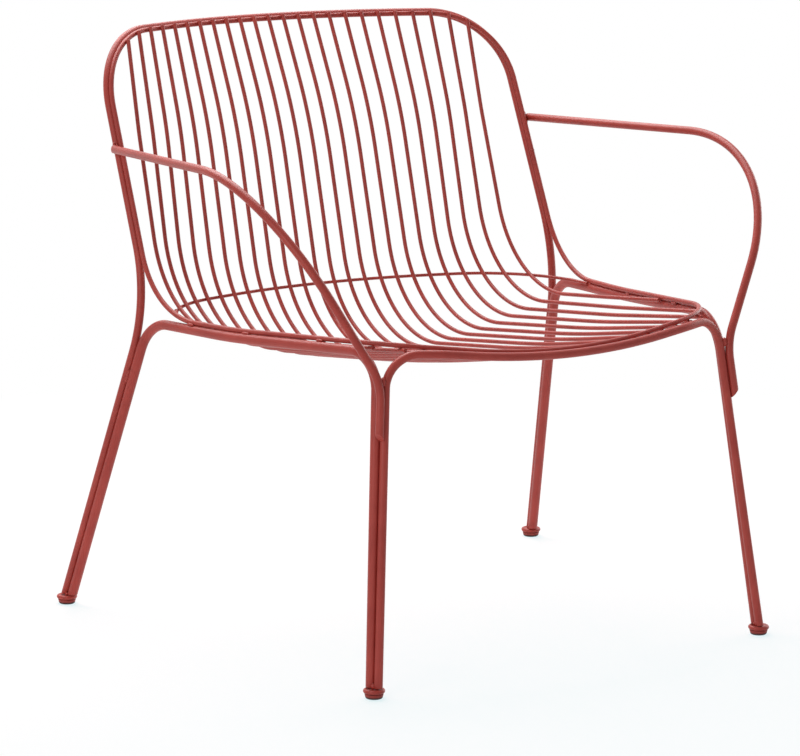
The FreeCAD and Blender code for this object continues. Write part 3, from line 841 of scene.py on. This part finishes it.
def turned_piece(name, outline, place, finish):
    """Piece turned from an outline of radius and height, closed with a flat middle at both ends."""
    work = bmesh.new()
    rings = []
    angles = [2 * math.pi * k / foot_sides for k in range(foot_sides)]
    for radius, z in outline:
        rings.append([work.verts.new((place.x + radius * math.cos(a), place.y + radius * math.sin(a), z))
                      for a in angles])
    for lower, upper in zip(rings, rings[1:]):
        for k in range(foot_sides):
            after = (k + 1) % foot_sides
            work.faces.new((lower[k], lower[after], upper[after], upper[k])).smooth = True
    work.faces.new(rings[0])
    work.faces.new(rings[-1])
    bmesh.ops.recalc_face_normals(work, faces=work.faces)
    mesh = bpy.data.meshes.new(name)
    work.to_mesh(mesh)
    work.free()
    mesh.materials.append(finish)
    piece = bpy.data.objects.new(name, mesh)
    bpy.context.scene.collection.objects.link(piece)
    return piece


def round_edge(middle_radius, middle_z, radius, first, last, steps=8):
    """Outline points on an arc, from the first angle to the last, in degrees above level."""
    angles = [math.radians(first + (last - first) * k / steps) for k in range(steps + 1)]
    return [(middle_radius + radius * math.cos(a), middle_z + radius * math.sin(a)) for a in angles]


glide_plastic = moulded_plastic("glide_moulding", glide_contact_shade, glide_red)
roll = (collar_top - collar_under) / 2
roll_radius = collar_radius - roll
dish_z = collar_top - collar_dish
collar_outline = [(collar_middle, collar_under), (roll_radius, collar_under)]
collar_outline += round_edge(roll_radius, collar_under + roll, roll, -90, 90, steps=16)[1:]
collar_outline += [(roll_radius - collar_dish, dish_z), (collar_middle, dish_z)]
glide_top = collar_under - glide_gap
top_edge = (glide_radius - glide_top_round, glide_top - glide_top_round, glide_top_round)
glide_outline = [(glide_middle, 0.0)]
glide_outline += round_edge(glide_foot_radius - glide_round, glide_round, glide_round, -90, 0)
glide_outline += round_edge(*top_edge, 0, 90, steps=5)
glide_outline += [(glide_middle, glide_top)]
for foot, place in (("front", front_foot), ("rear", rear_foot)):
    for side, turned in (("left", mirrored), ("right", Vector)):
        collar = turned_piece(f"{foot}_{side}_collar_turned", collar_outline, turned(place), red_coat)
        on_frame(collar, "painted_steel", f"{foot}_{side}_collar")
        glide = turned_piece(f"{foot}_{side}_glide_moulded", glide_outline, turned(place), glide_plastic)
        on_frame(glide, "glide_plastic", f"{foot}_{side}_glide")

# Studio
# Pale floor under soft light from a large overhead box, with a weaker fill on each side of the chair.
# Camera and mirror rays see floor and surroundings as white; the floor keeps the chair's shadow.

floor_half = 30.0
floor_pale = (0.85, 0.85, 0.85, 1.0)
floor_glow = (0.640, 0.820, 0.845, 1.0)
shadow_tint = (0.32, 0.16, 0.14, 1.0)
shadow_near = 0.8
shadow_far = 1.5
sky_level = 0.25
sky_white = (1.0, 1.0, 1.0, 1.0)

studio = bpy.context.scene
studio.view_settings.view_transform = "Standard"
floor_mesh = bpy.data.meshes.new("floor")
floor_mesh.from_pydata(
    [(-floor_half, -floor_half, 0), (floor_half, -floor_half, 0), (floor_half, floor_half, 0),
     (-floor_half, floor_half, 0)], [], [(0, 1, 2, 3)])
floor = bpy.data.objects.new("floor", floor_mesh)
studio.collection.objects.link(floor)


def seen_directly(tree):
    """One for camera, mirror and glass rays, else nought."""
    path = tree.nodes.new("ShaderNodeLightPath")
    total = path.outputs["Is Camera Ray"]
    for kind in ("Is Glossy Ray", "Is Transmission Ray"):
        most = tree.nodes.new("ShaderNodeMath")
        most.operation = "MAXIMUM"
        tree.links.new(total, most.inputs[0])
        tree.links.new(path.outputs[kind], most.inputs[1])
        total = most.outputs["Value"]
    return total


pale, pale_tree = blank_material("pale_floor")
add = pale_tree.nodes.new
join = pale_tree.links.new
matt = add("ShaderNodeBsdfDiffuse")
matt.inputs["Color"].default_value = floor_pale
shaded = add("ShaderNodeBsdfDiffuse")
shaded.inputs["Color"].default_value = shadow_tint
glow = add("ShaderNodeEmission")
glow.inputs["Color"].default_value = floor_glow
lifted = add("ShaderNodeAddShader")
join(glow.outputs["Emission"], lifted.inputs[0])
join(shaded.outputs["BSDF"], lifted.inputs[1])
from_chair = add("ShaderNodeVectorMath")
from_chair.operation = "LENGTH"
join(add("ShaderNodeTexCoord").outputs["Object"], from_chair.inputs[0])
clear = add("ShaderNodeMapRange")
clear.inputs["From Min"].default_value = shadow_near
clear.inputs["From Max"].default_value = shadow_far
join(from_chair.outputs["Value"], clear.inputs["Value"])
faded = add("ShaderNodeMixShader")
join(clear.outputs["Result"], faded.inputs["Fac"])
join(lifted.outputs["Shader"], faded.inputs[1])
join(add("ShaderNodeEmission").outputs["Emission"], faded.inputs[2])
chosen = add("ShaderNodeMixShader")
join(seen_directly(pale_tree), chosen.inputs["Fac"])
join(matt.outputs["BSDF"], chosen.inputs[1])
join(faded.outputs["Shader"], chosen.inputs[2])
join(chosen.outputs["Shader"], add("ShaderNodeOutputMaterial").inputs["Surface"])
floor_mesh.materials.append(pale)

world = bpy.data.worlds.new("studio")
studio.world = world
world.use_nodes = True
world.node_tree.nodes.clear()
add = world.node_tree.nodes.new
join = world.node_tree.links.new
strength = add("ShaderNodeMapRange")
strength.inputs["To Min"].default_value = sky_level
strength.inputs["To Max"].default_value = 1.0
join(seen_directly(world.node_tree), strength.inputs["Value"])
surroundings = add("ShaderNodeBackground")
surroundings.inputs["Color"].default_value = sky_white
join(strength.outputs["Result"], surroundings.inputs["Strength"])
join(surroundings.outputs["Background"], add("ShaderNodeOutputWorld").inputs["Surface"])


def softbox(name, place, aim, size, watts):
    """Square lamp that shines from its place towards its aim."""
    lamp = bpy.data.lights.new(name, "AREA")
    lamp.size = size
    lamp.energy = watts
    box = bpy.data.objects.new(name, lamp)
    box.location = place
    box.rotation_euler = (Vector(aim) - Vector(place)).to_track_quat("-Z", "Y").to_euler()
    studio.collection.objects.link(box)


softbox("overhead_box", place=(0.1, 1.4, 2.6), aim=(0, 0, 0.3), size=2.6, watts=105.0)
softbox("left_fill", place=(-3.0, -1.2, 1.2), aim=(0, 0, 0.4), size=1.6, watts=27.0)
softbox("right_fill", place=(2.4, 0.3, 1.0), aim=(0.1, 0, 0.4), size=1.6, watts=22.0)

# Camera
# Long lens at the photograph's place: above seat height, ahead of the chair and well to its left.
# Lens, place and aim come from points of the photograph that mirror each other on the chair's two sides.

photo_width = 800
focal_pixels = 4100.3
sensor_millimetres = 36.0
camera_place = Vector((-2.74977, -4.11249, 1.22117))
camera_aim = Vector((-0.04766, -0.03588, 0.30010))
camera_roll = math.radians(0.305)

camera_lens = bpy.data.cameras.new("camera")
camera_lens.sensor_width = sensor_millimetres
camera_lens.lens = sensor_millimetres * focal_pixels / photo_width
camera = bpy.data.objects.new("camera", camera_lens)
camera.location = camera_place
camera_turn = (camera_aim - camera_place).to_track_quat("-Z", "Y") @ Quaternion((0, 0, 1), camera_roll)
camera.rotation_euler = camera_turn.to_euler()
studio.collection.objects.link(camera)
studio.camera = camera

bpy.context.view_layer.update()
